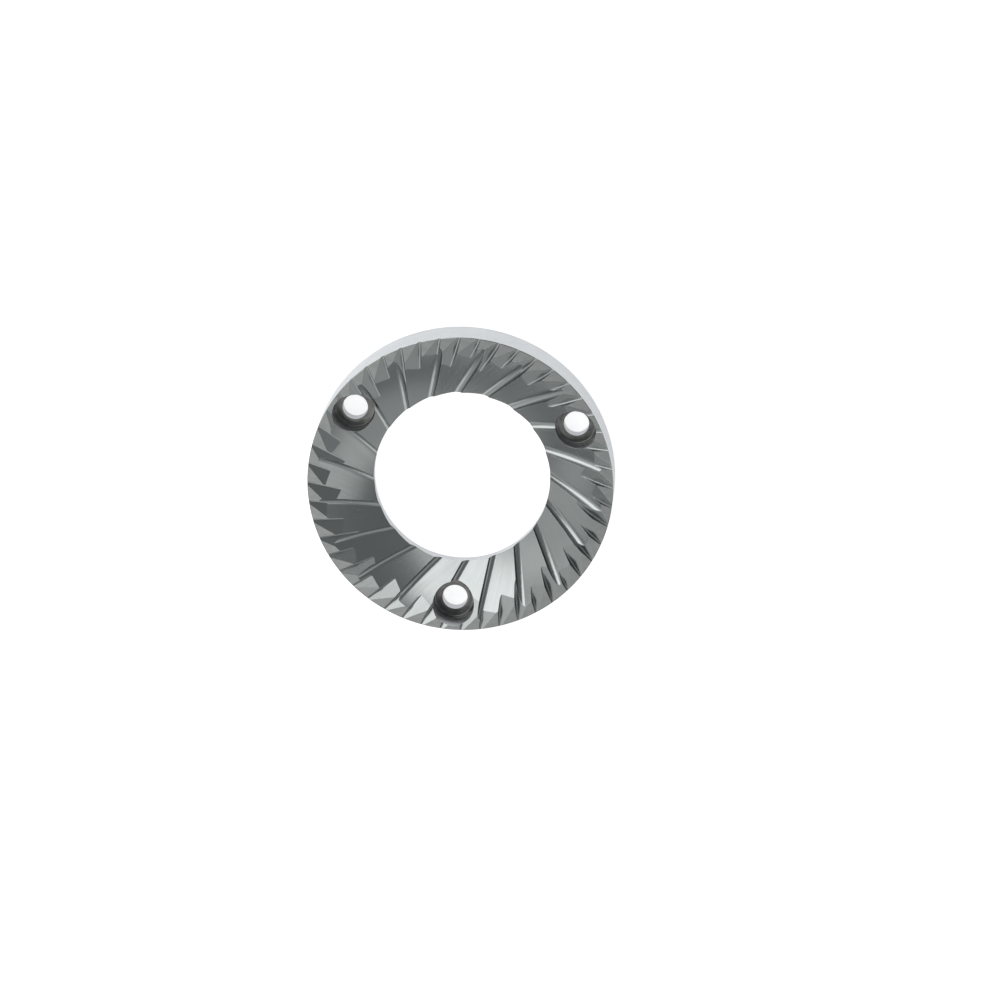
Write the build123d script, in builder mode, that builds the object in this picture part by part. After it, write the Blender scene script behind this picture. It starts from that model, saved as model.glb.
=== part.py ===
"""Flat coffee grinder burr: a hardened ring whose dished face is ground into hooked teeth.

It lies on its back. The origin is the centre of the back face, +Z leaves the grinding face.
Each groove is drawn as the one whose root runs along +X, and is then turned to its places.
Lengths are in millimetres, angles in degrees.
"""
import os
from math import asin, cos, degrees, radians, sin, sqrt, tan

from build123d import *

os.makedirs("parts", exist_ok=True)

# Ring blank
OUTER_R = 32.0
BORE_R = 18.5
THICKNESS = 9.0
BACK_RIM_CHAMFER = 0.55
BACK_BORE_CHAMFER = 1.0
RIM_BREAK = 0.12

# Three counterbored screw holes on one circle
SCREWS = 3
SCREW_START = 30.0
SCREWS_FROM_RIM = 5.2
SCREW_HOLE_R = 2.65
HEAD_SEAT_R = 4.35
SEAT_FLOOR_Z = 2.7
SEAT_CORNER_R = 0.35

# Breaking teeth: a round wheel sweeps each hooked groove from the face down to the bore
BREAKING_TEETH = 20
BREAKING_START = -8.0
BREAKING_OFFSET = 9.65
BREAKING_FROM_RIM = 2.9
BREAKING_DIP = 35.4
BREAKING_WHEEL_R = 46.3
BREAKING_RELIEF = 26.1
BREAKING_FACE = 62.6
BREAKING_ROOT_R = 0.7
BREAKING_WIDTH = 7.0
BREAKING_PAST_BORE = 6.0

# Finishing teeth: shallower straight grooves that open at the rim
FINISHING_TEETH = 48
FINISHING_START = -13.6
FINISHING_OFFSET = 9.14
FINISHING_RIM_DEPTH = 0.28
FINISHING_DIP = 14.7
FINISHING_RELIEF = 26.1
FINISHING_FACE = 65.0
FINISHING_ROOT_R = 0.3
FINISHING_WIDTH = 5.5

# A groove's root is rounded in flats, each within 0.02 mm of the arc
BREAKING_ROOT_FLATS = 4
FINISHING_ROOT_FLATS = 3

# How far the grooves and holes are cut past the blank
CLEAR = 1.5


def hook_outline(relief, face, root_r, flats, width, depth):
    """Section of one hooked groove as (along, up) from the sharp corner below its rounded root.

    The long relief rises towards +along and the steep face towards -along.
    """
    lean = radians(90 + (relief - face) / 2)
    centre_distance = root_r / cos(radians((relief + face) / 2))
    centre_along = centre_distance * cos(lean)
    centre_up = centre_distance * sin(lean)
    points = []
    for i in range(flats + 1):
        turn = radians(relief - 90 - (relief + face) * i / flats)
        points.append((centre_along + root_r * cos(turn), centre_up + root_r * sin(turn)))
    points.append((-depth / tan(radians(face)), depth))
    points.append((width, depth))
    points.append((width, width * tan(radians(relief))))
    return points


# Breaking groove: the wheel's lowest points trace the root
groove_end_x = OUTER_R - BREAKING_FROM_RIM
wheel_x = groove_end_x - BREAKING_WHEEL_R * sin(radians(BREAKING_DIP))
wheel_z = THICKNESS + BREAKING_WHEEL_R * cos(radians(BREAKING_DIP))
sweep_inner_x = sqrt(BORE_R**2 - BREAKING_OFFSET**2) - BREAKING_PAST_BORE
sweep_outer_x = OUTER_R + CLEAR
sweep_from = degrees(asin((sweep_inner_x - wheel_x) / BREAKING_WHEEL_R))
sweep_to = degrees(asin((sweep_outer_x - wheel_x) / BREAKING_WHEEL_R))
wheel_section = Plane(
    origin=(wheel_x, 0, wheel_z),
    x_dir=(0, 1, 0),
    z_dir=(-cos(radians(sweep_from)), 0, -sin(radians(sweep_from))),
)
breaking_outline = hook_outline(
    BREAKING_RELIEF,
    BREAKING_FACE,
    BREAKING_ROOT_R,
    BREAKING_ROOT_FLATS,
    BREAKING_WIDTH,
    THICKNESS + CLEAR,
)

with BuildPart() as breaking_groove:
    with BuildSketch(wheel_section):
        with BuildLine():
            Polyline(
                *[(BREAKING_OFFSET + y, BREAKING_WHEEL_R - up) for y, up in breaking_outline],
                close=True,
            )
        make_face()
    revolve(
        axis=Axis(wheel_section.origin, (0, -1, 0)),
        revolution_arc=sweep_to - sweep_from,
    )

# Finishing groove: its root drops inwards from just under the face at the rim
rim_x = sqrt(OUTER_R**2 - FINISHING_OFFSET**2)
start_x = OUTER_R + CLEAR
start_z = THICKNESS - FINISHING_RIM_DEPTH + (start_x - rim_x) * tan(radians(FINISHING_DIP))
finishing_outline = hook_outline(
    FINISHING_RELIEF,
    FINISHING_FACE,
    FINISHING_ROOT_R,
    FINISHING_ROOT_FLATS,
    FINISHING_WIDTH,
    THICKNESS,
)

with BuildPart() as finishing_groove:
    with BuildSketch(Plane(origin=(start_x, 0, 0), x_dir=(0, 1, 0), z_dir=(1, 0, 0))):
        with BuildLine():
            Polyline(
                *[(FINISHING_OFFSET + y, start_z + up) for y, up in finishing_outline],
                close=True,
            )
        make_face()
    extrude(
        amount=(start_x - BORE_R + CLEAR) / cos(radians(FINISHING_DIP)),
        dir=(-cos(radians(FINISHING_DIP)), 0, -sin(radians(FINISHING_DIP))),
    )

# Seat for a screw: through hole, flat floor with a rounded corner, wall up past the face
with BuildPart() as screw_seat:
    with BuildSketch(Plane.XZ) as seat_profile:
        with BuildLine():
            Polyline(
                (0, -CLEAR),
                (SCREW_HOLE_R, -CLEAR),
                (SCREW_HOLE_R, SEAT_FLOOR_Z),
                (HEAD_SEAT_R, SEAT_FLOOR_Z),
                (HEAD_SEAT_R, THICKNESS + CLEAR),
                (0, THICKNESS + CLEAR),
                close=True,
            )
        make_face()
        floor_corners = seat_profile.vertices().group_by(Axis.Y)[1]
        fillet(floor_corners.sort_by(Axis.X)[-1], SEAT_CORNER_R)
    revolve(axis=Axis.Z)

with BuildPart() as burr:
    with BuildSketch(Plane.XZ):
        with BuildLine():
            Polyline(
                (BORE_R + BACK_BORE_CHAMFER, 0),
                (OUTER_R - BACK_RIM_CHAMFER, 0),
                (OUTER_R, BACK_RIM_CHAMFER),
                (OUTER_R, THICKNESS - RIM_BREAK),
                (OUTER_R - RIM_BREAK, THICKNESS),
                (BORE_R, THICKNESS),
                (BORE_R, BACK_BORE_CHAMFER),
                close=True,
            )
        make_face()
    revolve(axis=Axis.Z)
    with PolarLocations(0, BREAKING_TEETH, BREAKING_START):
        add(breaking_groove.part, mode=Mode.SUBTRACT)
    with PolarLocations(0, FINISHING_TEETH, FINISHING_START):
        add(finishing_groove.part, mode=Mode.SUBTRACT)
    with PolarLocations(OUTER_R - SCREWS_FROM_RIM, SCREWS, SCREW_START):
        add(screw_seat.part, mode=Mode.SUBTRACT)

burr.part.label = "grinding_burr"
export_step(burr.part, "parts/grinding_burr.step")
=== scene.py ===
"""Looks of a flat coffee grinder burr: its ground teeth, turned walls and satin steel, on a pale stage."""
from math import pi, radians

import bpy
from mathutils import Matrix, Vector


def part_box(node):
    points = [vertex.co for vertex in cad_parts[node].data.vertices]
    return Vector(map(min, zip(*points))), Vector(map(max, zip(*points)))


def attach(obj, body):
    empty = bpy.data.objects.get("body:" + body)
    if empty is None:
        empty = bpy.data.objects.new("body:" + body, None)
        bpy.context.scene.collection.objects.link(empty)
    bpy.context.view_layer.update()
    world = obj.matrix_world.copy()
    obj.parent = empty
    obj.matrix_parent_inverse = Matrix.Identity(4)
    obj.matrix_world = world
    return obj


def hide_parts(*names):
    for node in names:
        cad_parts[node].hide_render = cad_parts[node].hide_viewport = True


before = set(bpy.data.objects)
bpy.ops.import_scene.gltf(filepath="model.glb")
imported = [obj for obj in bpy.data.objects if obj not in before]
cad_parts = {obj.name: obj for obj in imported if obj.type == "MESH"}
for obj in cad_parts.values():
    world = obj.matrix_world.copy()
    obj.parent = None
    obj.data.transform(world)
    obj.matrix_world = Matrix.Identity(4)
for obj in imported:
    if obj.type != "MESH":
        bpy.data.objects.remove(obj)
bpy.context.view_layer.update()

bl_info = {
    "name": "Coffee Grinder Burr",
    "version": (1, 0, 0),
    "blender": (4, 5, 0),
    "location": "View3D > Sidebar > Burr",
    "description": "Grinds a flat burr out of a steel ring and sets it on a pale stage",
    "category": "Object",
}

CAD_NODE = "grinding_burr"
RING_LOW, RING_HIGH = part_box(CAD_NODE)
RING_RADIUS = (RING_HIGH.x - RING_LOW.x) / 2
RING_THICKNESS = RING_HIGH.z - RING_LOW.z

# Node trees

# Socket types of the trees' inputs, with their subtypes
LENGTH = ("NodeSocketFloat", "DISTANCE")
TURN = ("NodeSocketFloat", "ANGLE")
COUNT = ("NodeSocketInt", None)
SHAPE = ("NodeSocketGeometry", None)
FINISH = ("NodeSocketMaterial", None)

# What the mesh keeps for its finish: on each face the tool that worked it, and in each corner where it
# lies along and across its cut
WORKED_BY = "worked_by"
GRAIN = "grain"
TURNED, LAPPED, GROUND, BORED = range(4)

# The finishes in the order of those marks, those whose lines run round an axis, and those whose steep
# faces get painted shade
FINISHES = ("Turned Steel", "Lapped Steel", "Ground Steel", "Bored Steel")
RUNS_ROUND = ("Turned Steel", "Bored Steel")
PAINTED_STEEP_SHADE_FINISHES = ("Ground Steel",)

# A face is lapped, is the broken rim or is a seat's floor where its normal is more upright than this
FLAT = 0.9
RISING = 0.5
SEAT_FLAT = 0.3

# Two faces that meet at less than this are one smooth surface
SMOOTH_BELOW = radians(2.5)

# A corner that is rounded in one step is a chamfer
CHAMFER_STEPS = 1

# Where a seat's section starts, as a share of the radius of the hole that it joins
WITHIN_HOLE = 0.5


def place(tree, kind, inputs=None, **settings):
    """Adds a node of this kind, sets it up and fills its inputs, which go by name or by number."""
    node = tree.nodes.new(kind)
    for name, value in settings.items():
        setattr(node, name, value)
    for name, value in (inputs or {}).items():
        fill(tree, node.inputs[name], value)
    return node


def output_of(source):
    """A socket as it is, or a node's first enabled output."""
    if isinstance(source, bpy.types.Node):
        return next(s for s in source.outputs if s.enabled)
    return source


def fill(tree, socket, value):
    """Links a node or socket to an input, or sets the input's own value. A list makes several links."""
    for one in value if isinstance(value, list) else [value]:
        if isinstance(one, (bpy.types.Node, bpy.types.NodeSocket)):
            tree.links.new(output_of(one), socket)
        else:
            socket.default_value = one


def calculate(tree, operation, first, second=0.0, third=0.0):
    """A math node on up to three numbers."""
    return place(tree, "ShaderNodeMath", {0: first, 1: second, 2: third}, operation=operation)


def vector(tree, x=0.0, y=0.0, z=0.0):
    """A vector from three numbers, each of which may be a socket."""
    return place(tree, "ShaderNodeCombineXYZ", {"X": x, "Y": y, "Z": z})


def axes(tree, source):
    """The X, Y and Z of a vector, as sockets."""
    return place(tree, "ShaderNodeSeparateXYZ", {0: source}).outputs


def new_tree(name, inputs, output="Geometry"):
    """A geometry node tree with inputs as (name, socket type, subtype), and the sockets at its ends."""
    tree = bpy.data.node_groups.new(name, "GeometryNodeTree")
    for label, kind, subtype in inputs:
        socket = tree.interface.new_socket(label, in_out="INPUT", socket_type=kind)
        if subtype:
            socket.subtype = subtype
    tree.interface.new_socket(output, in_out="OUTPUT", socket_type=SHAPE[0])
    start = tree.nodes.new("NodeGroupInput")
    end = tree.nodes.new("NodeGroupOutput")
    return tree, start.outputs, end.inputs[0]


def nested(tree, group, inputs):
    """Another tree used as one node of this tree."""
    node = tree.nodes.new("GeometryNodeGroup")
    node.node_tree = group
    for name, value in inputs.items():
        fill(tree, node.inputs[name], value)
    return node


def corner_radii(tree, radii):
    """A field that gives each corner of a section its own radius, in the order of its points."""
    switch = tree.nodes.new("GeometryNodeIndexSwitch")
    switch.data_type = "FLOAT"
    while len(switch.index_switch_items) < len(radii):
        switch.index_switch_items.new()
    fill(tree, switch.inputs["Index"], tree.nodes.new("GeometryNodeInputIndex"))
    for i, radius in enumerate(radii):
        fill(tree, switch.inputs[i + 1], radius)
    return switch


def rounded_section(tree, points, radii, steps):
    """A closed four-sided section whose corners are rounded in this many steps."""
    outline = place(tree, "GeometryNodeCurvePrimitiveQuadrilateral", mode="POINTS")
    for name, point in zip(("Point 1", "Point 2", "Point 3", "Point 4"), points):
        fill(tree, outline.inputs[name], point)
    return place(
        tree,
        "GeometryNodeFilletCurve",
        {"Curve": outline, "Count": steps, "Radius": corner_radii(tree, radii)},
        mode="POLY",
    )


def revolve_tree():
    """Turns a section, drawn as (radius, height), round the axis."""
    tree, given, made = new_tree(
        "Revolved Section",
        [("Section", *SHAPE), ("Circle Radius", *LENGTH), ("Steps", *COUNT)],
    )
    circle = place(
        tree,
        "GeometryNodeCurvePrimitiveCircle",
        {"Resolution": given["Steps"], "Radius": given["Circle Radius"]},
    )
    path = place(
        tree,
        "GeometryNodeSetCurveNormal",
        {
            "Curve": place(tree, "GeometryNodeReverseCurve", {"Curve": circle}),
            "Normal": tree.nodes.new("GeometryNodeInputPosition"),
        },
        mode="FREE",
    )
    inwards = vector(tree, x=calculate(tree, "MULTIPLY", given["Circle Radius"], -1.0))
    section = place(
        tree,
        "GeometryNodeTransform",
        {"Geometry": given["Section"], "Translation": inwards},
    )
    solid = place(tree, "GeometryNodeCurveToMesh", {"Curve": path, "Profile Curve": section})
    tree.links.new(output_of(solid), made)
    return tree


def hooked_section_tree():
    """Section of a groove as (along, up): a long relief, a rounded root and a steep tooth face."""
    tree, given, made = new_tree(
        "Hooked Section",
        [
            ("Relief", *TURN),
            ("Face", *TURN),
            ("Root Radius", *LENGTH),
            ("Root Steps", *COUNT),
            ("Width", *LENGTH),
            ("Depth", *LENGTH),
        ],
        "Section",
    )
    relief_rise = calculate(
        tree, "MULTIPLY", given["Width"], calculate(tree, "TANGENT", given["Relief"])
    )
    face_run = calculate(
        tree, "DIVIDE", given["Depth"], calculate(tree, "TANGENT", given["Face"])
    )
    section = rounded_section(
        tree,
        [
            vector(tree, calculate(tree, "MULTIPLY", face_run, -1.0), given["Depth"]),
            vector(tree),
            vector(tree, given["Width"], relief_rise),
            vector(tree, given["Width"], given["Depth"]),
        ],
        [0.0, given["Root Radius"], 0.0, 0.0],
        given["Root Steps"],
    )
    tree.links.new(output_of(section), made)
    return tree


GROOVE_INPUTS = [
    ("Offset", *LENGTH),
    ("Dip", *TURN),
    ("Relief", *TURN),
    ("Face", *TURN),
    ("Root Radius", *LENGTH),
    ("Root Steps", *COUNT),
    ("Width", *LENGTH),
]
RING_INPUTS = [("Outer Radius", *LENGTH), ("Bore Radius", *LENGTH), ("Thickness", *LENGTH)]
SECTION_SIZES = ("Relief", "Face", "Root Radius", "Root Steps", "Width")


def swept(tree, path, section):
    """A section swept along a path in an upright plane.

    Each corner of its mesh keeps how far it lies along the path, across it and up from it.
    """
    sideways = vector(tree, y=1.0)
    steady = place(
        tree,
        "GeometryNodeSetCurveNormal",
        {"Curve": path, "Normal": sideways},
        mode="FREE",
    )
    spline = tree.nodes.new("GeometryNodeSplineParameter")
    measured_path = kept_field(tree, steady, spline.outputs["Length"], "FLOAT")
    position = tree.nodes.new("GeometryNodeInputPosition")
    measured_section = kept_field(tree, section, position, "VECTOR")
    solid = place(
        tree,
        "GeometryNodeCurveToMesh",
        {
            "Curve": measured_path.outputs["Geometry"],
            "Profile Curve": measured_section.outputs["Geometry"],
            "Fill Caps": True,
        },
    )
    across = axes(tree, measured_section.outputs[1])
    grain = vector(tree, measured_path.outputs[1], across["X"], across["Y"])
    return worked(tree, grained(tree, solid, grain), GROUND)


def kept_field(tree, geometry, field, kind):
    """Keeps a value of each point, so that the mesh swept from it still knows the value."""
    node = tree.nodes.new("GeometryNodeCaptureAttribute")
    node.capture_items.new(kind, "Value")
    fill(tree, node.inputs["Geometry"], geometry)
    fill(tree, node.inputs[1], field)
    return node


def stored(tree, geometry, name, value, kind, domain, where=True):
    """A geometry with a named attribute, set where the selection says."""
    return place(
        tree,
        "GeometryNodeStoreNamedAttribute",
        {"Geometry": geometry, "Selection": where, "Name": name, "Value": value},
        data_type=kind,
        domain=domain,
    )


def grained(tree, geometry, grain):
    """Keeps in each corner where it lies along and across its cut."""
    return stored(tree, geometry, GRAIN, grain, "FLOAT_VECTOR", "CORNER")


def worked(tree, geometry, mark, where=True):
    """Marks faces with the tool that worked them."""
    return stored(tree, geometry, WORKED_BY, mark, "INT", "FACE", where)


def normal_height(tree):
    """The upward part of each face's normal."""
    return axes(tree, tree.nodes.new("GeometryNodeInputNormal"))["Z"]


def groove_section(tree, hooked, given):
    """The hooked section in the sizes of one groove, as deep as the ring is thick."""
    sizes = {name: given[name] for name in SECTION_SIZES}
    return nested(tree, hooked, {**sizes, "Depth": given["Thickness"]})


def wheel_path(tree, given):
    """The arc of a round wheel that goes from above the face down to the bore, beside the X axis."""
    wheel = given["Wheel Radius"]
    end_x = calculate(tree, "SUBTRACT", given["Outer Radius"], given["From Rim"])
    wheel_x = calculate(
        tree,
        "SUBTRACT",
        end_x,
        calculate(tree, "MULTIPLY", wheel, calculate(tree, "SINE", given["Dip"])),
    )
    wheel_z = calculate(
        tree,
        "MULTIPLY_ADD",
        wheel,
        calculate(tree, "COSINE", given["Dip"]),
        given["Thickness"],
    )

    def wheel_angle(reach):
        """Where the wheel's rim is at this distance from the burr's axis."""
        return calculate(
            tree,
            "ARCSINE",
            calculate(tree, "DIVIDE", calculate(tree, "SUBTRACT", reach, wheel_x), wheel),
        )

    inner = wheel_angle(calculate(tree, "SUBTRACT", given["Bore Radius"], given["Offset"]))
    outer = wheel_angle(calculate(tree, "ADD", given["Outer Radius"], given["Clear"]))
    arc = place(
        tree,
        "GeometryNodeCurveArc",
        {
            "Resolution": given["Steps"],
            "Radius": wheel,
            "Start Angle": calculate(tree, "SUBTRACT", inner, pi / 2),
            "Sweep Angle": calculate(tree, "SUBTRACT", outer, inner),
        },
        mode="RADIUS",
    )
    return place(
        tree,
        "GeometryNodeTransform",
        {
            "Geometry": arc,
            "Translation": vector(tree, wheel_x, given["Offset"], wheel_z),
            "Rotation": (pi / 2, 0.0, 0.0),
        },
    )


def breaking_groove_tree(hooked):
    """A groove swept by a round wheel, from the face down to the bore. Its root runs along +X."""
    tree, given, made = new_tree(
        "Breaking Groove",
        RING_INPUTS
        + GROOVE_INPUTS
        + [("From Rim", *LENGTH), ("Wheel Radius", *LENGTH), ("Steps", *COUNT), ("Clear", *LENGTH)],
    )
    groove = swept(tree, wheel_path(tree, given), groove_section(tree, hooked, given))
    tree.links.new(output_of(groove), made)
    return tree


def finishing_groove_tree(hooked):
    """A shallow straight groove, open at the rim, whose root drops towards the bore."""
    tree, given, made = new_tree(
        "Finishing Groove",
        RING_INPUTS + GROOVE_INPUTS + [("Rim Depth", *LENGTH), ("Clear", *LENGTH)],
    )
    outer_square = calculate(tree, "MULTIPLY", given["Outer Radius"], given["Outer Radius"])
    offset_square = calculate(tree, "MULTIPLY", given["Offset"], given["Offset"])
    rim_x = calculate(
        tree, "SQRT", calculate(tree, "SUBTRACT", outer_square, offset_square)
    )
    rim_z = calculate(tree, "SUBTRACT", given["Thickness"], given["Rim Depth"])
    near_x = calculate(tree, "SUBTRACT", given["Bore Radius"], given["Clear"])
    far_x = calculate(tree, "ADD", given["Outer Radius"], given["Clear"])
    line = place(
        tree,
        "GeometryNodeCurvePrimitiveLine",
        {
            "Start": vector(tree, near_x, given["Offset"], rim_z),
            "End": vector(tree, far_x, given["Offset"], rim_z),
        },
    )
    level = swept(tree, line, groove_section(tree, hooked, given))
    position = axes(tree, tree.nodes.new("GeometryNodeInputPosition"))
    past_rim = calculate(tree, "SUBTRACT", position["X"], rim_x)
    drop = calculate(tree, "MULTIPLY", past_rim, calculate(tree, "TANGENT", given["Dip"]))
    dipped = place(
        tree, "GeometryNodeSetPosition", {"Geometry": level, "Offset": vector(tree, z=drop)}
    )
    tree.links.new(output_of(dipped), made)
    return tree


def marked_seat(tree, seat, hole):
    """A seat and its hole as one cutter, which leaves a bored floor and turned walls."""
    level = calculate(tree, "ABSOLUTE", normal_height(tree))
    floor = calculate(tree, "GREATER_THAN", level, SEAT_FLAT)
    seat = worked(tree, worked(tree, seat, TURNED), BORED, floor)
    both = place(
        tree,
        "GeometryNodeMeshBoolean",
        {"Mesh 2": [seat, worked(tree, hole, TURNED)]},
        operation="UNION",
        solver="MANIFOLD",
    )
    return grained(tree, both, tree.nodes.new("GeometryNodeInputPosition"))


def screw_seat_tree(revolve):
    """A through hole with a wider, flat seat above it, whose corner is rounded. It stands on +X."""
    tree, given, made = new_tree(
        "Screw Seat",
        [
            ("Thickness", *LENGTH),
            ("Circle Radius", *LENGTH),
            ("Hole Radius", *LENGTH),
            ("Seat Radius", *LENGTH),
            ("Floor Height", *LENGTH),
            ("Corner Radius", *LENGTH),
            ("Corner Steps", *COUNT),
            ("Steps", *COUNT),
            ("Clear", *LENGTH),
        ],
    )
    top = calculate(tree, "ADD", given["Thickness"], given["Clear"])
    within_hole = calculate(tree, "MULTIPLY", given["Hole Radius"], WITHIN_HOLE)
    section = rounded_section(
        tree,
        [
            vector(tree, within_hole, given["Floor Height"]),
            vector(tree, given["Seat Radius"], given["Floor Height"]),
            vector(tree, given["Seat Radius"], top),
            vector(tree, within_hole, top),
        ],
        [0.0, given["Corner Radius"], 0.0, 0.0],
        given["Corner Steps"],
    )
    seat = nested(
        tree,
        revolve,
        {"Section": section, "Circle Radius": given["Seat Radius"], "Steps": given["Steps"]},
    )
    # The cylinder's middle is at the origin, so only half of its depth is above
    hole = place(
        tree,
        "GeometryNodeMeshCylinder",
        {
            "Vertices": given["Steps"],
            "Radius": given["Hole Radius"],
            "Depth": calculate(tree, "MULTIPLY", top, 2.0),
        },
    )
    on_circle = vector(tree, x=given["Circle Radius"])
    placed = place(
        tree,
        "GeometryNodeTransform",
        {"Geometry": marked_seat(tree, seat, hole), "Translation": on_circle},
    )
    tree.links.new(output_of(placed), made)
    return tree


def blank_tree(revolve):
    """The turned ring before its teeth are ground: a chamfer at each back edge and a broken top rim."""
    tree, given, made = new_tree(
        "Ring Blank",
        RING_INPUTS
        + [
            ("Back Rim Chamfer", *LENGTH),
            ("Back Bore Chamfer", *LENGTH),
            ("Rim Break", *LENGTH),
            ("Steps", *COUNT),
        ],
    )
    outer, bore, top = given["Outer Radius"], given["Bore Radius"], given["Thickness"]
    section = rounded_section(
        tree,
        [vector(tree, bore), vector(tree, outer), vector(tree, outer, top), vector(tree, bore, top)],
        [given["Back Bore Chamfer"], given["Back Rim Chamfer"], given["Rim Break"], 0.0],
        CHAMFER_STEPS,
    )
    ring = nested(
        tree,
        revolve,
        {"Section": section, "Circle Radius": outer, "Steps": given["Steps"]},
    )
    tree.links.new(output_of(ring), made)
    return tree


def cut_round_tree():
    """Cuts one cutter into a ring again and again, evenly spaced round the axis."""
    tree, given, made = new_tree(
        "Cut Round Axis",
        [("Ring", *SHAPE), ("Cutter", *SHAPE), ("Count", *COUNT), ("Start", *TURN)],
    )
    points = place(tree, "GeometryNodePoints", {"Count": given["Count"]})
    step = calculate(tree, "DIVIDE", 2 * pi, given["Count"])
    turn = calculate(
        tree, "MULTIPLY_ADD", tree.nodes.new("GeometryNodeInputIndex"), step, given["Start"]
    )
    cutters = place(
        tree,
        "GeometryNodeInstanceOnPoints",
        {
            "Points": points,
            "Instance": given["Cutter"],
            "Rotation": place(tree, "FunctionNodeEulerToRotation", {"Euler": vector(tree, z=turn)}),
        },
    )
    cut = place(
        tree,
        "GeometryNodeMeshBoolean",
        {"Mesh 1": given["Ring"], "Mesh 2": cutters},
        operation="DIFFERENCE",
        solver="MANIFOLD",
    )
    tree.links.new(output_of(cut), made)
    return tree


def sizes_in(group):
    """The properties that a group holds of its own."""
    return [p for p in group.bl_rna.properties if p.identifier not in ("rna_type", "name")]


def sockets_for(part, group):
    """Each size of a part's property group as (name, socket type, subtype)."""
    for prop in sizes_in(group):
        name = f"{part} {prop.name}"
        if prop.type == "INT":
            yield name, *COUNT
        else:
            yield name, *(TURN if prop.subtype == "ANGLE" else LENGTH)


def marked_ring(tree, blank):
    """The blank with turned walls, a broken rim that is ground with the teeth, and lapped level faces."""
    ring = grained(tree, blank, tree.nodes.new("GeometryNodeInputPosition"))
    upwards = normal_height(tree)
    rising = calculate(tree, "GREATER_THAN", upwards, RISING)
    flat = calculate(tree, "GREATER_THAN", calculate(tree, "ABSOLUTE", upwards), FLAT)
    ring = worked(tree, ring, TURNED)
    ring = worked(tree, ring, GROUND, rising)
    return worked(tree, ring, LAPPED, flat)


def smooth_between_edges(tree, geometry):
    """Shades a mesh smooth, and keeps the edges at which its faces meet at an angle."""
    edge = tree.nodes.new("GeometryNodeInputMeshEdgeAngle")
    sharp = place(
        tree,
        "FunctionNodeCompare",
        {0: edge.outputs["Unsigned Angle"], 1: SMOOTH_BELOW},
        data_type="FLOAT",
        operation="GREATER_THAN",
    )
    smooth = place(
        tree, "GeometryNodeSetShadeSmooth", {"Geometry": geometry, "Shade Smooth": True}
    )
    return place(
        tree,
        "GeometryNodeSetShadeSmooth",
        {"Geometry": smooth, "Selection": sharp, "Shade Smooth": False},
        domain="EDGE",
    )


def in_its_finishes(tree, geometry, given):
    """Gives each face the steel of the tool that worked it."""
    mark = place(
        tree, "GeometryNodeInputNamedAttribute", {"Name": WORKED_BY}, data_type="INT"
    )
    for number, name in enumerate(FINISHES):
        chosen = place(
            tree, "FunctionNodeCompare", {2: mark, 3: number}, data_type="INT", operation="EQUAL"
        )
        geometry = place(
            tree,
            "GeometryNodeSetMaterial",
            {"Geometry": geometry, "Selection": chosen, "Material": given[name]},
        )
    return geometry


def burr_tree(groups):
    """The whole burr in its steels: a ring blank, cut by both sets of teeth and by the hole seats."""
    inputs = [size for part, group in groups.items() for size in sockets_for(part, group)]
    inputs += [(name, *FINISH) for name in FINISHES]
    tree, given, made = new_tree("Grinding Burr", inputs)
    revolve = revolve_tree()
    hooked = hooked_section_tree()
    cut_round = cut_round_tree()

    def part_of(part, inner, extra):
        """The blank or one cutter, with every input that its own sizes name."""
        own = {
            item.name: given[f"{part} {item.name}"]
            for item in inner.interface.items_tree
            if item.in_out == "INPUT" and f"{part} {item.name}" in given
        }
        return nested(tree, inner, {**extra, **own})

    ring_sizes = {name: given[f"Ring {name}"] for name, *_ in RING_INPUTS}
    ring = marked_ring(tree, part_of("Ring", blank_tree(revolve), {}))
    seat_circle = calculate(
        tree, "SUBTRACT", given["Ring Outer Radius"], given["Screw Seats From Rim"]
    )
    seat_sizes = {"Thickness": given["Ring Thickness"], "Circle Radius": seat_circle}
    tools = {
        "Breaking Teeth": (breaking_groove_tree(hooked), ring_sizes),
        "Finishing Teeth": (finishing_groove_tree(hooked), ring_sizes),
        "Screw Seats": (screw_seat_tree(revolve), seat_sizes),
    }
    for part, (tool, extra) in tools.items():
        ring = nested(
            tree,
            cut_round,
            {
                "Ring": ring,
                "Cutter": part_of(part, tool, extra),
                "Count": given[f"{part} Count"],
                "Start": given[f"{part} Start"],
            },
        )
    whole = place(
        tree, "GeometryNodeRealizeInstances", {"Geometry": smooth_between_edges(tree, ring)}
    )
    tree.links.new(output_of(in_its_finishes(tree, whole, given)), made)
    return tree


# Finishes

# Detail and roughness of each noise, and the range in which most of its values lie
LINE_NOISE = (2.0, 0.6)
BAND_NOISE = (3.0, 0.7)
CLOUD_NOISE = (4.0, 0.6)
CHIP_NOISE = (2.0, 0.5)
NOISE_LOW = 0.3
NOISE_HIGH = 0.7

# Bands of tone for each line of the tool, across the lines and along them
BAND_ACROSS = 0.22
BAND_ALONG = 0.6

# A worn edge, which brightens the colour partly as wear and partly as a painted highlight: the size of its
# chips and the least wear in them, the cosines between the flat and the rounded normal at which wear
# starts and is full, and how finely the rounding is sampled
CHIP = 0.0005
CHIP_LEAST = 0.35
WEAR_STARTS = 0.995
WEAR_FULL = 0.9
EDGE_SAMPLES = 6

# How much of the tone comes from the lines, how far an edge goes to its brighter colour, which is partly
# wear and partly a painted highlight, and how far the roughness goes up and down with the lines
MARK_SHARE = 0.55
EDGE_WEAR_AND_HIGHLIGHT_SHARE = 0.75
EDGE_WEAR_AND_HIGHLIGHT_GAIN = 1.9
ROUGHNESS_SPREAD = 0.1

# The noise drifts this way over the burr, so that no two grooves have the same lines
DRIFT_WAY = (0.8, 0.6, 0.0)

# Painted shade on the steep side of a groove, where shade falls, is full this far across from the root
PAINTED_SHADE_WIDTH = 0.0002
# Black, the colour that the painted shade mixes in
BLACK = (0.0, 0.0, 0.0, 1.0)


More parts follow.
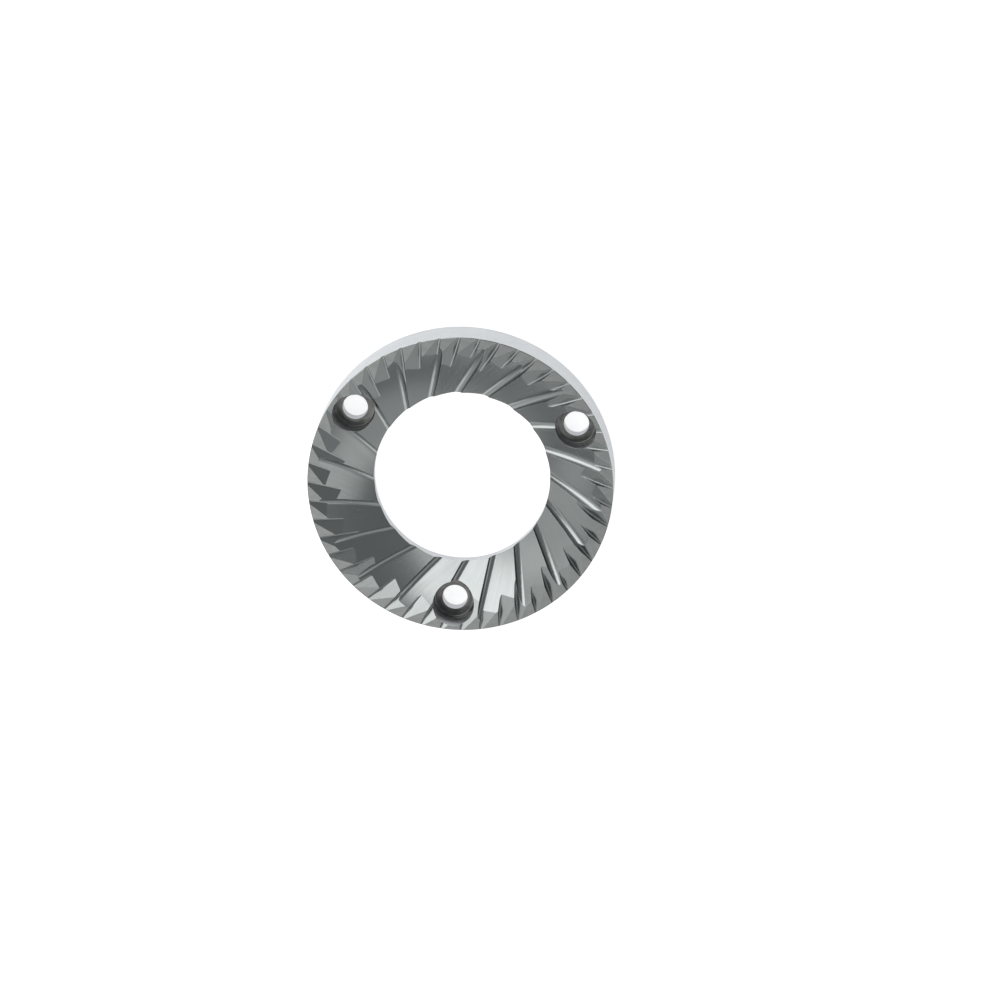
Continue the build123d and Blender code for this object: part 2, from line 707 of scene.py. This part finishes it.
def shader_group(name, inputs, outputs):
    """A shader node group with inputs as (name, type, default) and outputs as (name, type)."""
    tree = bpy.data.node_groups.new(name, "ShaderNodeTree")
    for label, kind, value in inputs:
        tree.interface.new_socket(label, in_out="INPUT", socket_type=kind).default_value = value
    for label, kind in outputs:
        tree.interface.new_socket(label, in_out="OUTPUT", socket_type=kind)
    given = tree.nodes.new("NodeGroupInput").outputs
    made = tree.nodes.new("NodeGroupOutput").inputs
    return tree, given, made


def effect(tree, group, inputs):
    """A shader node group used as one node of this tree."""
    node = tree.nodes.new("ShaderNodeGroup")
    node.node_tree = group
    for name, value in inputs.items():
        fill(tree, node.inputs[name], value)
    return node.outputs


def noise(tree, place_in, drift, detail, roughness):
    """Noise in four dimensions, one feature to each unit."""
    node = place(
        tree,
        "ShaderNodeTexNoise",
        {"Vector": place_in, "W": drift, "Scale": 1.0, "Detail": detail, "Roughness": roughness},
        noise_dimensions="4D",
    )
    return node.outputs[0]


def remap(tree, value, start, end, low=0.0, high=1.0):
    """A number that goes from low to high while the value goes from start to end."""
    return place(
        tree,
        "ShaderNodeMapRange",
        {"Value": value, "From Min": start, "From Max": end, "To Min": low, "To Max": high},
    )


def spread(tree, value, low=0.0, high=1.0):
    """Turns noise into a number between these two."""
    return remap(tree, value, NOISE_LOW, NOISE_HIGH, low, high)


def mixed(tree, share, first, second):
    """A colour that goes from the first to the second. A mix has colours on sockets 6, 7 and 2."""
    mix = place(
        tree, "ShaderNodeMix", {0: share, 6: first, 7: second}, data_type="RGBA"
    )
    return mix.outputs[2]


def tool_marks_group():
    """Marks of a wheel or a lathe tool: fine lines, long along X of the lay and narrow across it."""
    tree, given, made = shader_group(
        "Tool Marks",
        [
            ("Lay", "NodeSocketVector", (0.0, 0.0, 0.0)),
            ("Drift", "NodeSocketFloat", 0.0),
            ("Pitch", "NodeSocketFloat", 0.0001),
            ("Reach", "NodeSocketFloat", 0.005),
        ],
        [("Height", "NodeSocketFloat"), ("Tone", "NodeSocketFloat")],
    )
    lay = axes(tree, given["Lay"])
    along = calculate(tree, "DIVIDE", lay["X"], given["Reach"])
    across = calculate(tree, "DIVIDE", lay["Y"], given["Pitch"])
    upwards = calculate(tree, "DIVIDE", lay["Z"], given["Pitch"])
    drift = calculate(tree, "DIVIDE", given["Drift"], given["Reach"])
    fine = noise(tree, vector(tree, along, across, upwards), drift, *LINE_NOISE)
    wide = vector(
        tree,
        calculate(tree, "MULTIPLY", along, BAND_ALONG),
        calculate(tree, "MULTIPLY", across, BAND_ACROSS),
        calculate(tree, "MULTIPLY", upwards, BAND_ACROSS),
    )
    bands = noise(tree, wide, drift, *BAND_NOISE)
    tree.links.new(fine, made["Height"])
    tree.links.new(output_of(spread(tree, bands)), made["Tone"])
    return tree


def turned_lay_group():
    """Where a point lies for marks that run round an axis: along the turn, out from the axis and up."""
    tree, given, made = shader_group(
        "Turned Lay",
        [("Position", "NodeSocketVector", (0.0, 0.0, 0.0))],
        [("Lay", "NodeSocketVector"), ("Drift", "NodeSocketFloat")],
    )
    position = axes(tree, given["Position"])
    from_axis = vector(tree, position["X"], position["Y"])
    outwards = place(tree, "ShaderNodeVectorMath", {0: from_axis}, operation="LENGTH")
    lay = vector(tree, position["X"], outwards.outputs["Value"], position["Z"])
    tree.links.new(output_of(lay), made["Lay"])
    tree.links.new(position["Y"], made["Drift"])
    return tree


def mottle_group():
    """Soft cloudy change of tone, as hardened steel has."""
    tree, given, made = shader_group(
        "Mottle",
        [("Position", "NodeSocketVector", (0.0, 0.0, 0.0)), ("Size", "NodeSocketFloat", 0.004)],
        [("Tone", "NodeSocketFloat")],
    )
    scale = calculate(tree, "DIVIDE", 1.0, given["Size"])
    scaled = place(
        tree, "ShaderNodeVectorMath", {0: given["Position"], "Scale": scale}, operation="SCALE"
    )
    clouds = noise(tree, scaled, 0.0, *CLOUD_NOISE)
    tree.links.new(output_of(spread(tree, clouds)), made["Tone"])
    return tree


def worn_and_highlit_edge_group():
    """Edges rubbed round: a mask of them, which makes them brighter partly as wear and partly as a painted
    highlight, and the normal of their rounding.
    """
    tree, given, made = shader_group(
        "Worn Edge",
        [("Radius", "NodeSocketFloat", 0.0001), ("Position", "NodeSocketVector", (0.0, 0.0, 0.0))],
        [("Wear", "NodeSocketFloat"), ("Normal", "NodeSocketVector")],
    )
    rounded = place(tree, "ShaderNodeBevel", {"Radius": given["Radius"]}, samples=EDGE_SAMPLES)
    facing = place(
        tree,
        "ShaderNodeVectorMath",
        {0: rounded, 1: tree.nodes.new("ShaderNodeNewGeometry").outputs["Normal"]},
        operation="DOT_PRODUCT",
    )
    edge = remap(tree, facing.outputs["Value"], WEAR_STARTS, WEAR_FULL)
    finely = place(
        tree,
        "ShaderNodeVectorMath",
        {0: given["Position"], "Scale": 1.0 / CHIP},
        operation="SCALE",
    )
    chips = spread(tree, noise(tree, finely, 0.0, *CHIP_NOISE), CHIP_LEAST)
    tree.links.new(output_of(calculate(tree, "MULTIPLY", edge, chips)), made["Wear"])
    tree.links.new(output_of(rounded), made["Normal"])
    return tree


def shader_tree(name):
    """An empty material and its output node."""
    material = bpy.data.materials.new(name)
    material.use_nodes = True
    material.node_tree.nodes.clear()
    return material, material.node_tree.nodes.new("ShaderNodeOutputMaterial")


def shade(colour, by):
    """A colour made lighter or darker."""
    return (*(min(part * by, 1.0) for part in colour), 1.0)


def with_painted_steep_shade(tree, colour, grain, amount):
    """Painted shade: darker steel on the steep faces, where shade falls in the grooves."""
    across = axes(tree, grain)["Y"]
    painted_shade = remap(tree, across, 0.0, -PAINTED_SHADE_WIDTH, 0.0, amount)
    return mixed(tree, painted_shade, colour, BLACK)


def lay_of_lines(tree, name, grain, position, effects):
    """Where a point lies among its tool's lines, and how far the lines have drifted there."""
    if name in RUNS_ROUND:
        turned = effect(tree, effects["Turned Lay"], {"Position": grain})
        return turned["Lay"], turned["Drift"]
    drift = place(
        tree, "ShaderNodeVectorMath", {0: position, 1: DRIFT_WAY}, operation="DOT_PRODUCT"
    )
    return grain, drift.outputs["Value"]


def steel_colour(tree, look, lines, clouds, wear_and_highlight):
    """A colour that changes with the lines and the clouds, and is brighter at the edges, partly as wear
    and partly as a painted highlight.
    """
    cloudy = calculate(tree, "MULTIPLY", clouds, 1.0 - MARK_SHARE)
    tone = calculate(tree, "MULTIPLY_ADD", lines, MARK_SHARE, cloudy)
    darker = shade(look.colour, 1.0 - look.contrast)
    lighter = shade(look.colour, 1.0 + look.contrast)
    # Brighter edge colour: partly wear, partly a painted highlight
    worn_and_highlit = calculate(tree, "MULTIPLY", wear_and_highlight, EDGE_WEAR_AND_HIGHLIGHT_SHARE)
    plain = mixed(tree, tone, darker, lighter)
    return mixed(tree, worn_and_highlit, plain, shade(look.colour, EDGE_WEAR_AND_HIGHLIGHT_GAIN))


def steel(name, look, effects):
    """Satin steel with the lines of its tool, a mottled tone, edges made brighter partly as wear and
    partly as a painted highlight, and on some finishes painted shade on the steep faces.
    """
    material, end = shader_tree(name)
    tree = material.node_tree
    grain = place(tree, "ShaderNodeAttribute", attribute_name=GRAIN).outputs["Vector"]
    position = tree.nodes.new("ShaderNodeTexCoord").outputs["Object"]
    lay, drift = lay_of_lines(tree, name, grain, position, effects)
    marks = effect(
        tree,
        effects["Tool Marks"],
        {"Lay": lay, "Drift": drift, "Pitch": look.pitch, "Reach": look.reach},
    )
    mottle = effect(tree, effects["Mottle"], {"Position": position, "Size": look.cloud})
    worn_and_highlit = effect(tree, effects["Worn Edge"], {"Radius": look.edge, "Position": position})
    base = steel_colour(tree, look, marks["Tone"], mottle["Tone"], worn_and_highlit["Wear"])
    # Ground steel gets painted shade on its steep faces
    if name in PAINTED_STEEP_SHADE_FINISHES:
        base = with_painted_steep_shade(tree, base, grain, look.painted_steep_shade)
    rougher = look.roughness * (1.0 + ROUGHNESS_SPREAD)
    smoother = look.roughness * (1.0 - ROUGHNESS_SPREAD)
    roughness = remap(tree, marks["Tone"], 0.0, 1.0, rougher, smoother)
    bumped = place(
        tree,
        "ShaderNodeBump",
        {
            "Strength": 1.0,
            "Distance": look.depth,
            "Height": marks["Height"],
            "Normal": worn_and_highlit["Normal"],
        },
    )
    surface = place(
        tree,
        "ShaderNodeBsdfPrincipled",
        {"Base Color": base, "Metallic": 1.0, "Roughness": roughness, "Normal": bumped},
    )
    tree.links.new(surface.outputs["BSDF"], end.inputs["Surface"])
    return material


def steels(looks):
    """The material of each finish. They share their effects."""
    effects = {
        "Tool Marks": tool_marks_group(),
        "Turned Lay": turned_lay_group(),
        "Mottle": mottle_group(),
        "Worn Edge": worn_and_highlit_edge_group(),
    }
    return {name: steel(name, looks[name], effects) for name in FINISHES}


# Sizes and colours that a user may change


def length(name, description, default):
    """A length that a user may change."""
    return bpy.props.FloatProperty(
        name=name, description=description, default=default, min=0.0, unit="LENGTH"
    )


def angle(name, description, degrees):
    """An angle that a user may change, given here in degrees."""
    return bpy.props.FloatProperty(
        name=name, description=description, default=radians(degrees), subtype="ANGLE"
    )


def count(name, description, default):
    """A whole number that a user may change."""
    return bpy.props.IntProperty(name=name, description=description, default=default, min=1)


def colour(name, description, default):
    """A colour that a user may change."""
    return bpy.props.FloatVectorProperty(
        name=name, description=description, default=default, subtype="COLOR", min=0.0, max=1.0
    )


def share(name, description, default):
    """A share between nothing and all that a user may change."""
    return bpy.props.FloatProperty(
        name=name, description=description, default=default, subtype="FACTOR", min=0.0, max=1.0
    )


# How far every cutter runs past the ring
CLEAR = 0.0015


class BurrRing(bpy.types.PropertyGroup):
    """Sizes of the turned ring."""

    outer_radius: length("Outer Radius", "Half the outside diameter", RING_RADIUS)
    bore_radius: length("Bore Radius", "Half the bore's diameter", 0.0185)
    thickness: length("Thickness", "From the back to the grinding face", RING_THICKNESS)
    back_rim_chamfer: length("Back Rim Chamfer", "Chamfer at the back's outer edge", 0.00055)
    back_bore_chamfer: length("Back Bore Chamfer", "Chamfer at the back's bore", 0.001)
    rim_break: length("Rim Break", "Small flat that breaks the face's outer edge", 0.00012)
    steps: count("Steps", "Flats round the ring", 480)


class BurrScrewSeats(bpy.types.PropertyGroup):
    """Sizes of the counterbored holes."""

    count: count("Count", "How many holes there are", 3)
    start: angle("Start", "Where the first hole is", 30.0)
    from_rim: length("From Rim", "From the rim to the hole's middle", 0.0052)
    hole_radius: length("Hole Radius", "Half the through hole's diameter", 0.00265)
    seat_radius: length("Seat Radius", "Half the seat's diameter", 0.00435)
    floor_height: length("Floor Height", "From the back to the seat's floor", 0.0027)
    corner_radius: length("Corner Radius", "Rounding between floor and wall", 0.00035)
    corner_steps: count("Corner Steps", "Flats in the rounding", 8)
    steps: count("Steps", "Flats round a hole", 128)
    clear: length("Clear", "How far the cutter runs past the ring", CLEAR)


class BurrBreakingTeeth(bpy.types.PropertyGroup):
    """Sizes of the long teeth that a round wheel sweeps from the face down to the bore."""

    count: count("Count", "How many teeth", 20)
    start: angle("Start", "Where the first groove is", -8.0)
    offset: length("Offset", "How far a root passes beside the axis", 0.0093)
    from_rim: length("From Rim", "From the rim to the root's outer end", 0.0029)
    dip: angle("Dip", "How steeply the root leaves the face", 35.4)
    wheel_radius: length("Wheel Radius", "Radius of the arc that the root follows", 0.0463)
    relief: angle("Relief", "Slope of the long side", 26.1)
    face: angle("Face", "Slope of the steep side", 76.0)
    root_radius: length("Root Radius", "Rounding at the root", 0.0011)
    root_steps: count("Root Steps", "Flats in the rounding", 14)
    width: length("Width", "Width of the long side", 0.007)
    steps: count("Steps", "Flats along the sweep", 110)
    clear: length("Clear", "How far the cutter runs past the ring", CLEAR)


class BurrFinishingTeeth(bpy.types.PropertyGroup):
    """Sizes of the short shallow teeth that open at the rim."""

    count: count("Count", "How many teeth", 48)
    start: angle("Start", "Where the first groove is", -13.6)
    offset: length("Offset", "How far a root passes beside the axis", 0.00914)
    rim_depth: length("Rim Depth", "Depth of the root at the rim", 0.00028)
    dip: angle("Dip", "How steeply the root drops inwards", 14.7)
    relief: angle("Relief", "Slope of the long side", 26.1)
    face: angle("Face", "Slope of the steep side", 76.0)
    root_radius: length("Root Radius", "Rounding at the root", 0.0003)
    root_steps: count("Root Steps", "Flats in the rounding", 10)
    width: length("Width", "Width of the long side", 0.0055)
    clear: length("Clear", "How far the cutter runs past the ring", CLEAR)


class BurrGroundSteel(bpy.types.PropertyGroup):
    """Look of the teeth, which a wheel has ground lengthwise."""

    colour: colour("Colour", "Steel left by the wheel", (0.375, 0.395, 0.39))
    roughness: share("Roughness", "How matt the steel is", 0.25)
    contrast: share("Contrast", "How much the tone changes", 0.035)
    pitch: length("Mark Pitch", "Width of one line of the wheel", 0.00012)
    reach: length("Mark Reach", "Length of one line of the wheel", 0.008)
    depth: length("Mark Depth", "Depth of one line of the wheel", 0.0000012)
    cloud: length("Cloud Size", "Size of a cloud of tone", 0.003)
    edge: length("Worn Edge", "Radius of the worn edges", 0.00006)
    # How strong the painted shade on the steep faces is
    painted_steep_shade: share("Steep Shade", "How dark the steep faces are", 0.5)


class BurrLappedSteel(bpy.types.PropertyGroup):
    """Look of the level faces, the lands between the teeth and the back."""

    colour: colour("Colour", "Steel left by lapping", (0.31, 0.321, 0.312))
    roughness: share("Roughness", "How matt the steel is", 0.3)
    contrast: share("Contrast", "How much the tone changes", 0.08)
    pitch: length("Mark Pitch", "Width of one lapped line", 0.00015)
    reach: length("Mark Reach", "Length of one lapped line", 0.002)
    depth: length("Mark Depth", "Depth of one lapped line", 0.000004)
    cloud: length("Cloud Size", "Size of a cloud of tone", 0.0015)
    edge: length("Worn Edge", "Radius of the worn edges", 0.00006)


class BurrTurnedSteel(bpy.types.PropertyGroup):
    """Look of the rim, the bore, the back chamfers and the walls of the holes, which are turned."""

    colour: colour("Colour", "Steel left by the lathe", (0.74, 0.76, 0.785))
    roughness: share("Roughness", "How matt the steel is", 0.24)
    contrast: share("Contrast", "How much the tone changes", 0.08)
    pitch: length("Mark Pitch", "Width of one turned line", 0.0001)
    reach: length("Mark Reach", "Length of one turned line", 0.012)
    depth: length("Mark Depth", "Depth of one turned line", 0.000004)
    cloud: length("Cloud Size", "Size of a cloud of tone", 0.004)
    edge: length("Worn Edge", "Radius of the worn edges", 0.00006)


class BurrBoredSteel(bpy.types.PropertyGroup):
    """Look of the seats' floors, where the cutter leaves rings."""

    colour: colour("Colour", "Steel left by the counterbore", (0.15, 0.148, 0.143))
    roughness: share("Roughness", "How matt the steel is", 0.26)
    contrast: share("Contrast", "How much the tone changes", 0.8)
    pitch: length("Mark Pitch", "Width of one ring", 0.0004)
    reach: length("Mark Reach", "Length of one ring", 0.009)
    depth: length("Mark Depth", "Depth of one ring", 0.00003)
    cloud: length("Cloud Size", "Size of a cloud of tone", 0.002)
    edge: length("Worn Edge", "Radius of the worn edges", 0.00006)


def burr_parts(scene):
    """The property groups by the names that the burr's tree gives them."""
    return {
        "Ring": scene.burr_ring,
        "Screw Seats": scene.burr_screw_seats,
        "Breaking Teeth": scene.burr_breaking_teeth,
        "Finishing Teeth": scene.burr_finishing_teeth,
    }


def burr_looks(scene):
    """The property groups by the names of their finishes."""
    return {
        "Turned Steel": scene.burr_turned_steel,
        "Lapped Steel": scene.burr_lapped_steel,
        "Ground Steel": scene.burr_ground_steel,
        "Bored Steel": scene.burr_bored_steel,
    }


def shaped_mesh(context, tree, values):
    """The plain mesh that a tree makes, with these values on its inputs."""
    maker = bpy.data.objects.new("burr_maker", bpy.data.meshes.new("burr_maker"))
    context.collection.objects.link(maker)
    modifier = maker.modifiers.new(tree.name, "NODES")
    modifier.node_group = tree
    for item in tree.interface.items_tree:
        if item.in_out == "INPUT":
            modifier[item.identifier] = values[item.name]
    evaluated = maker.evaluated_get(context.evaluated_depsgraph_get())
    mesh = bpy.data.meshes.new_from_object(evaluated)
    bpy.data.objects.remove(maker)
    return mesh


class BURR_OT_grind(bpy.types.Operator):
    """Grind the burr out of its ring blank"""

    bl_idname = "burr.grind"
    bl_label = "Grind Burr"

    def execute(self, context):
        parts = burr_parts(context.scene)
        values = steels(burr_looks(context.scene))
        for part, group in parts.items():
            for prop in sizes_in(group):
                values[f"{part} {prop.name}"] = getattr(group, prop.identifier)
        mesh = shaped_mesh(context, burr_tree(parts), values)
        if not mesh.polygons:
            raise RuntimeError("The cutters left nothing of the ring")
        mesh.name = "ground_burr"
        burr = bpy.data.objects.new("ground_burr", mesh)
        context.collection.objects.link(burr)
        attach(burr, "root")
        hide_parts(CAD_NODE)
        return {"FINISHED"}


# Stage

CAMERA_PLACE = Vector((0.057255, 0.339289, 1.065812))
CAMERA_AIM = Vector((0.008523, -0.002582, 0.009))
CAMERA_UP = Vector((-0.07544, 0.94976, -0.30376))
CAMERA_LENS = 191.8
CAMERA_SENSOR = 36.0

FLOOR_RADIUS = 3.0
FLOOR_SIDES = 96
FLOOR_ROUGHNESS = 0.9

# Each softbox: degrees round from +X and down from straight up, width and height as shares of its
# distance, and brightness
SOFTBOX_DISTANCE = 1.0
SOFTBOXES = {
    "key_softbox": (128.0, 64.0, 1.0, 1.04, 1.85),
    "overhead_softbox": (235.0, 23.0, 0.48, 0.46, 1.05),
    "front_softbox": (264.0, 56.0, 0.8, 0.46, 1.1),
    "left_softbox": (198.0, 61.0, 1.1, 0.86, 0.45),
    "right_softbox": (359.0, 76.0, 0.54, 0.94, 0.65),
    "front_right_softbox": (315.0, 49.0, 0.8, 1.0, 0.32),
    "side_softbox": (172.0, 57.0, 0.36, 0.8, 0.26),
}


class BurrStage(bpy.types.PropertyGroup):
    """Look of the stage."""

    floor: colour("Floor", "Colour of the pale floor", (0.65, 0.65, 0.65))
    glow: share("Floor Glow", "How white the floor looks in its own right", 0.78)
    mirrored_glow: share("Mirrored Glow", "How white the floor looks in the steel", 0.45)
    room: colour("Room", "Colour of the dim room round the lamps", (0.22, 0.23, 0.232))
    level: bpy.props.FloatProperty(
        name="Lamp Level", description="Multiplies every brightness", default=1.0, min=0.0
    )
    distance: length("Lamp Distance", "From the burr to each softbox", SOFTBOX_DISTANCE)


def aimed(spot, aim, up):
    """Stands a camera or lamp on its spot and turns it towards a point, with this direction up."""
    back = (spot - aim).normalized()
    right = up.cross(back).normalized()
    turn = Matrix((right, back.cross(right), back)).transposed()
    return Matrix.Translation(spot) @ turn.to_4x4()


def pale_floor(look):
    """A floor that looks white to the camera and greyer in the steel, and still takes a shadow."""
    material, end = shader_tree("Pale Floor")
    tree = material.node_tree
    ray = tree.nodes.new("ShaderNodeLightPath").outputs
    mirrored = calculate(tree, "MULTIPLY", ray["Is Glossy Ray"], look.mirrored_glow)
    glow = calculate(tree, "MULTIPLY_ADD", ray["Is Camera Ray"], look.glow, mirrored)
    surface = place(
        tree,
        "ShaderNodeBsdfPrincipled",
        {
            "Base Color": (*look.floor, 1.0),
            "Roughness": FLOOR_ROUGHNESS,
            "Specular IOR Level": 0.0,
            "Emission Color": (1.0, 1.0, 1.0, 1.0),
            "Emission Strength": glow,
        },
    )
    tree.links.new(surface.outputs["BSDF"], end.inputs["Surface"])
    return material


def softbox(context, name, look):
    """A softbox on its place in the dome of lamps, facing the burr."""
    around, lean, width, height, brightness = SOFTBOXES[name]
    lamp = bpy.data.lights.new(name, "AREA")
    lamp.shape = "RECTANGLE"
    lamp.size = width * look.distance
    lamp.size_y = height * look.distance
    lamp.energy = brightness * look.level * pi * lamp.size * lamp.size_y
    box = bpy.data.objects.new(name, lamp)
    context.collection.objects.link(box)
    upwards = Vector((0.0, 0.0, 1.0))
    leaned = Matrix.Rotation(radians(lean), 3, "Y") @ upwards
    way = Matrix.Rotation(radians(around), 3, "Z") @ leaned
    middle = Vector((0.0, 0.0, RING_THICKNESS / 2))
    box.matrix_world = aimed(way * look.distance, middle, upwards)
    box.visible_camera = False


class BURR_OT_set_stage(bpy.types.Operator):
    """Set the floor, the studio lamps and the camera"""

    bl_idname = "burr.set_stage"
    bl_label = "Set Stage"

    def execute(self, context):
        look = context.scene.burr_stage
        bpy.ops.mesh.primitive_circle_add(
            vertices=FLOOR_SIDES, radius=FLOOR_RADIUS, fill_type="NGON"
        )
        floor = context.object
        floor.name = "stage_floor"
        floor.data.materials.append(pale_floor(look))
        world = bpy.data.worlds.new("Dim Room")
        world.use_nodes = True
        world.node_tree.nodes["Background"].inputs["Color"].default_value = (*look.room, 1.0)
        context.scene.world = world
        for name in SOFTBOXES:
            softbox(context, name, look)
        lens = bpy.data.cameras.new("Camera")
        lens.sensor_width, lens.lens = CAMERA_SENSOR, CAMERA_LENS
        camera = bpy.data.objects.new("camera", lens)
        context.collection.objects.link(camera)
        camera.matrix_world = aimed(CAMERA_PLACE, CAMERA_AIM, CAMERA_UP)
        context.scene.camera = camera
        context.scene.view_settings.view_transform = "Standard"
        return {"FINISHED"}


class BURR_PT_sidebar(bpy.types.Panel):
    """Lists the burr's steps"""

    bl_idname = "BURR_PT_sidebar"
    bl_label = "Grinder Burr"
    bl_space_type = "VIEW_3D"
    bl_region_type = "UI"
    bl_category = "Burr"

    def draw(self, context):
        scene = context.scene
        panes = {**burr_parts(scene), **burr_looks(scene), "Stage": scene.burr_stage}
        for part, group in panes.items():
            self.layout.label(text=part)
            for prop in sizes_in(group):
                self.layout.prop(group, prop.identifier)
        self.layout.operator(BURR_OT_grind.bl_idname)
        self.layout.operator(BURR_OT_set_stage.bl_idname)


GROUPS = {
    "burr_ring": BurrRing,
    "burr_screw_seats": BurrScrewSeats,
    "burr_breaking_teeth": BurrBreakingTeeth,
    "burr_finishing_teeth": BurrFinishingTeeth,
    "burr_ground_steel": BurrGroundSteel,
    "burr_lapped_steel": BurrLappedSteel,
    "burr_turned_steel": BurrTurnedSteel,
    "burr_bored_steel": BurrBoredSteel,
    "burr_stage": BurrStage,
}
CLASSES = (*GROUPS.values(), BURR_OT_grind, BURR_OT_set_stage, BURR_PT_sidebar)


def register():
    """Makes the classes known, and gives each scene its sizes and looks."""
    for cls in CLASSES:
        bpy.utils.register_class(cls)
    for name, group in GROUPS.items():
        setattr(bpy.types.Scene, name, bpy.props.PointerProperty(type=group))


def unregister():
    """Takes them away again."""
    for name in GROUPS:
        delattr(bpy.types.Scene, name)
    for cls in reversed(CLASSES):
        bpy.utils.unregister_class(cls)


def main():
    """Makes the burr and its stage."""
    register()
    bpy.ops.burr.grind()
    bpy.ops.burr.set_stage()


if __name__ == "__main__":
    main()
